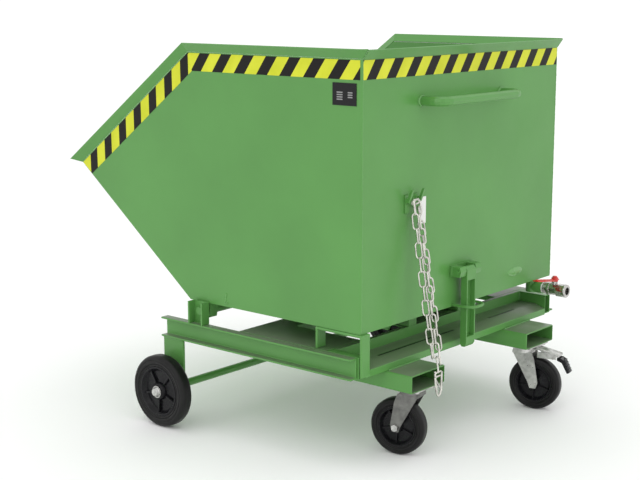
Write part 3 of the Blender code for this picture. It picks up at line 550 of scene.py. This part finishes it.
def wheel(word, node, centre, radius, half, body, bore, axis=(0, 1, 0)):
    """A ribbed tyre on a dished hub with spokes and a bearing boss."""
    seat = radius * 0.70
    tyre = [
        (seat, half * 0.80), (radius * 0.745, half * 0.86), (radius * 0.765, half * 0.79),
        (radius * 0.785, half * 0.90), (radius * 0.845, half * 0.93), (radius * 0.865, half * 0.86),
        (radius * 0.885, half * 0.92), (radius * 0.935, half * 0.86), (radius * 0.975, half * 0.72),
        (radius * 0.995, half * 0.50), (radius * 0.9985, half * 0.20),
    ]
    obj = lathe(f"{word}_tyre_seen", centre, axis, both_faces(tyre), TYRE, body, 72, 50)
    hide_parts(f"{node}_tyre")
    rim, web, boss = seat - 0.0006, half * 0.30, half * 0.97
    hub = [
        (bore, boss), (bore + radius * 0.085, boss), (bore + radius * 0.11, half * 0.86),
        (bore + radius * 0.14, web * 1.25), (bore + radius * 0.20, web), (rim * 0.80, web),
        (rim * 0.86, web * 1.5), (rim * 0.905, half * 0.80), (rim * 0.93, half * 0.88),
        (rim * 0.985, half * 0.88), (rim, half * 0.82),
    ]
    obj = lathe(f"{word}_hub_seen", centre, axis, both_faces(hub), HUB, body, 60, 34)
    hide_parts(f"{node}_hub")
    face_turn = Vector((0, 1, 0)).rotation_difference(Vector(axis)).to_matrix().to_4x4()
    inner, outer = bore + radius * 0.13, rim * 0.88
    for face, face_word in SIDES:
        for i in range(RIBS):
            a = 2 * math.pi * (i + 0.3) / RIBS
            matrix = Matrix.Translation(centre) @ face_turn @ Matrix.Rotation(a, 4, "Y")
            bm = bmesh.new()
            bmesh.ops.create_cube(bm, size=1.0)
            bmesh.ops.scale(bm, vec=(outer - inner, half * 0.42, radius * 0.045), verts=bm.verts)
            bmesh.ops.translate(bm, vec=((outer + inner) / 2, face * half * 0.42, 0), verts=bm.verts)
            bmesh.ops.bevel(bm, geom=bm.edges, offset=radius * 0.008, segments=2, affect="EDGES", profile=0.5)
            bmesh.ops.transform(bm, matrix=matrix, verts=bm.verts)
            mesh_piece(f"{word}_rib_{face_word}_{i}", bm, HUB, body)


for side, word in SIDES:
    centre = place(FRONT_X, side * FRONT_Y, FRONT_RADIUS)
    node = f"front_wheel_{word}"
    wheel(f"front_{word}", node, centre, FRONT_RADIUS, FRONT_HALF_WIDTH, node, FRONT_BORE)
    lathe(f"axle_washer_{word}", place(FRONT_X, side * 0.6012, FRONT_RADIUS), (0, side, 0), WASHER,
          ZINC, "base", 32)
    lathe(f"axle_cap_{word}", place(FRONT_X, side * 0.6035, FRONT_RADIUS), (0, side, 0), AXLE_CAP,
          ZINC, "base", 32)


def turned_out(side, along, across, z):
    """A point on a caster, given from its swivel axis before it is turned."""
    c, s = math.cos(CASTER_TURN), math.sin(CASTER_TURN)
    return place(CASTER_X + along * c - across * s, side * CASTER_Y + along * s + across * c, z)


ACROSS = (-math.sin(CASTER_TURN), math.cos(CASTER_TURN), 0)
for side, word, metal, slot in ((-1, "near", DARK_ZINC, "dark_zinc"), (1, "far", ZINC, "zinc_plate")):
    trail = side * CASTER_TRAIL
    centre = turned_out(side, trail, 0, CASTER_RADIUS)
    node = f"caster_wheel_{word}"
    wheel(f"caster_{word}", node, centre, CASTER_RADIUS, CASTER_HALF_WIDTH, node, CASTER_BORE, ACROSS)
    soften(f"caster_fork_{word}", 0.0012, metal)
    for x, x_letter in ((-0.004, "f"), (0.076, "r")):
        for y, y_letter in ((-0.040, "n"), (0.040, "f")):
            head = place(x, side * CASTER_Y + y, CASTER_PLATE_Z - 0.0002)
            hexagon(f"plate_bolt_{word}_{x_letter}{y_letter}", head, (0, 0, -1), 0.013, 0.003,
                    ZINC, "base")
    for end, end_word in SIDES:
        hexagon(f"wheel_nut_{word}_{end_word}", turned_out(side, trail, end * 0.0283, CASTER_RADIUS),
                [end * v for v in ACROSS], 0.0175, 0.0066, ZINC, f"swivel_{word}")
    lathe(f"swivel_ring_{word}", place(CASTER_X, side * CASTER_Y, 0.1955), (0, 0, 1), SWIVEL_RING,
          metal, f"swivel_{word}", 40)

# Brake on the far caster: folds along the cover, its cheeks and the pedal's pin

TO_FAR_CASTER = Matrix.Translation(place(CASTER_X, CASTER_Y, 0)) @ Matrix.Rotation(CASTER_TURN, 4, "Z")
PIN = ((0, 0), (0.0048, 0), (0.0048, 0.048), (0, 0.048))


def on_caster(obj):
    """Moves a mesh built about the swivel axis onto the turned far caster."""
    obj.data.transform(TO_FAR_CASTER)
    return obj


for y, word in ((-0.0155, "near"), (0.0155, "far")):
    fold = [Vector((0.051, y, 0.2005)), Vector((0.121, y, 0.1865))]
    on_caster(sweep(f"brake_fold_{word}", fold, 0.0022, ZINC, "swivel_far"))
    low, high = (0.050, y * 1.25 - 0.001, 0.1710), (0.112, y * 1.25 + 0.001, 0.1900)
    on_caster(block(f"brake_cheek_{word}", low, high, ZINC, "swivel_far"))
on_caster(lathe("brake_pin", Vector((0.103, -0.024, 0.1765)), (0, 1, 0), PIN,
                STEEL, "swivel_far", 24))
soften("brake_pedal", 0.003)
for i in range(4):
    x, drop = 0.0135 * i / 3, 0.0275 * i / 3
    low, high = (0.1350 + x, -0.013, 0.1700 - drop), (0.1390 + x, 0.013, 0.1722 - drop)
    on_caster(block(f"pedal_rib_{i}", low, high, HUB, "pedal", 0.0005))

# Drain: threaded end, hex flats, bell mouth and the dipped lever

DRAIN_Y, DRAIN_Z = 0.43, 0.364
THREAD = ((0.0180, 0), (0.0190, 0.0007), (0.0180, 0.0014))
THREAD_PITCH = 0.0022
VALVE_MOUTH = (
    (0.0128, 0), (0.0205, 0), (0.0212, 0.002), (0.0212, 0.0095),
    (0.0200, 0.0112), (0.0140, 0.0112), (0.0128, 0.0095),
)
for i in range(5):
    lathe(f"valve_thread_{i}", place(0.0235 + i * THREAD_PITCH, DRAIN_Y, DRAIN_Z), (1, 0, 0), THREAD,
          STEEL, "hopper", 32)
hexagon("valve_collar", place(0.036, DRAIN_Y, DRAIN_Z), (1, 0, 0), 0.0385, 0.010, STEEL, "hopper")
lathe("valve_mouth", place(0.0925, DRAIN_Y, DRAIN_Z), (1, 0, 0), VALVE_MOUTH, STEEL, "hopper", 40)
hexagon("lever_nut", place(0.058, DRAIN_Y, 0.4028), (0, 0, 1), 0.0135, 0.0050, RED, "drain_lever")
soften("valve_lever", 0.0016)
lever_fold = [place(0.058, 0.416, 0.3982), place(0.058, 0.406, 0.3985), place(0.058, 0.316, 0.4128)]
sweep("lever_fold", lever_fold, 0.0028, RED, "drain_lever")

# Handle feet and the small raised mark on the rear wall

HANDLE_Z = 1.009
FILLET = ((0.0139, 0), (0.0172, 0), (0.0166, 0.0020), (0.0150, 0.0042), (0.0139, 0.0046))
for y, word in ((-0.232, "near"), (0.172, "far")):
    lathe(f"handle_weld_{word}", place(0.0004, y, HANDLE_Z), (1, 0, 0), FILLET,
          LIGHTENED_WELD, "hopper", 32)
# The raised mark is drawn in the lightened weld paint, a painted highlight.
bm = bmesh.new()
bmesh.ops.create_uvsphere(bm, u_segments=32, v_segments=16, radius=1.0)
bmesh.ops.scale(bm, vec=(0.0030, 0.042, 0.0135), verts=bm.verts)
bmesh.ops.translate(bm, vec=place(0.0, 0.280, 0.440), verts=bm.verts)
mesh_piece("wall_bump", bm, LIGHTENED_WELD, "hopper")

# Floor, light and camera

bpy.ops.mesh.primitive_plane_add(size=30, location=(0, 0, -0.0004))
floor = bpy.context.object
floor.name = "studio_floor"
ground = Nodes("studio_floor", (0.97, 0.97, 0.97), 0.9)
ground.colour(ground.ramp(ground.noise(1.2), [(0.3, (0.965, 0.965, 0.965)), (0.7, (0.98, 0.98, 0.98))]))
floor.data.materials.append(ground.mat)

world = bpy.data.worlds.new("studio")
world.use_nodes = True
background = world.node_tree.nodes["Background"]
background.inputs["Color"].default_value = (1.0, 1.0, 1.0, 1)
background.inputs["Strength"].default_value = 1.08
bpy.context.scene.world = world


def area_light(name, where, target, size, power):
    """A rectangular lamp at one point, facing another."""
    data = bpy.data.lights.new(name, "AREA")
    data.shape = "RECTANGLE"
    data.size = size
    data.size_y = size * 0.7
    data.energy = power
    lamp = bpy.data.objects.new(name, data)
    bpy.context.scene.collection.objects.link(lamp)
    lamp.location = where
    lamp.rotation_euler = (Vector(target) - Vector(where)).to_track_quat("-Z", "Y").to_euler()


area_light("key", (1.2, -3.8, 3.2), (0, 0, 0.6), 2.6, 16)
area_light("side", (4.2, -0.6, 2.2), (0.3, 0, 0.6), 2.2, 6)
area_light("top", (-0.2, 0.2, 4.4), (0, 0, 0.6), 3.0, 14)

camera = bpy.data.objects.new("camera", bpy.data.cameras.new("camera"))
bpy.context.scene.collection.objects.link(camera)
camera.data.lens = 73.9
camera.data.sensor_width = 36
camera.data.clip_end = 60
camera.location = place(2.152, -3.207, 1.313)
camera.rotation_euler = (math.radians(79.2), 0, math.radians(40.3))
bpy.context.scene.camera = camera
bpy.context.scene.view_settings.view_transform = "Standard"
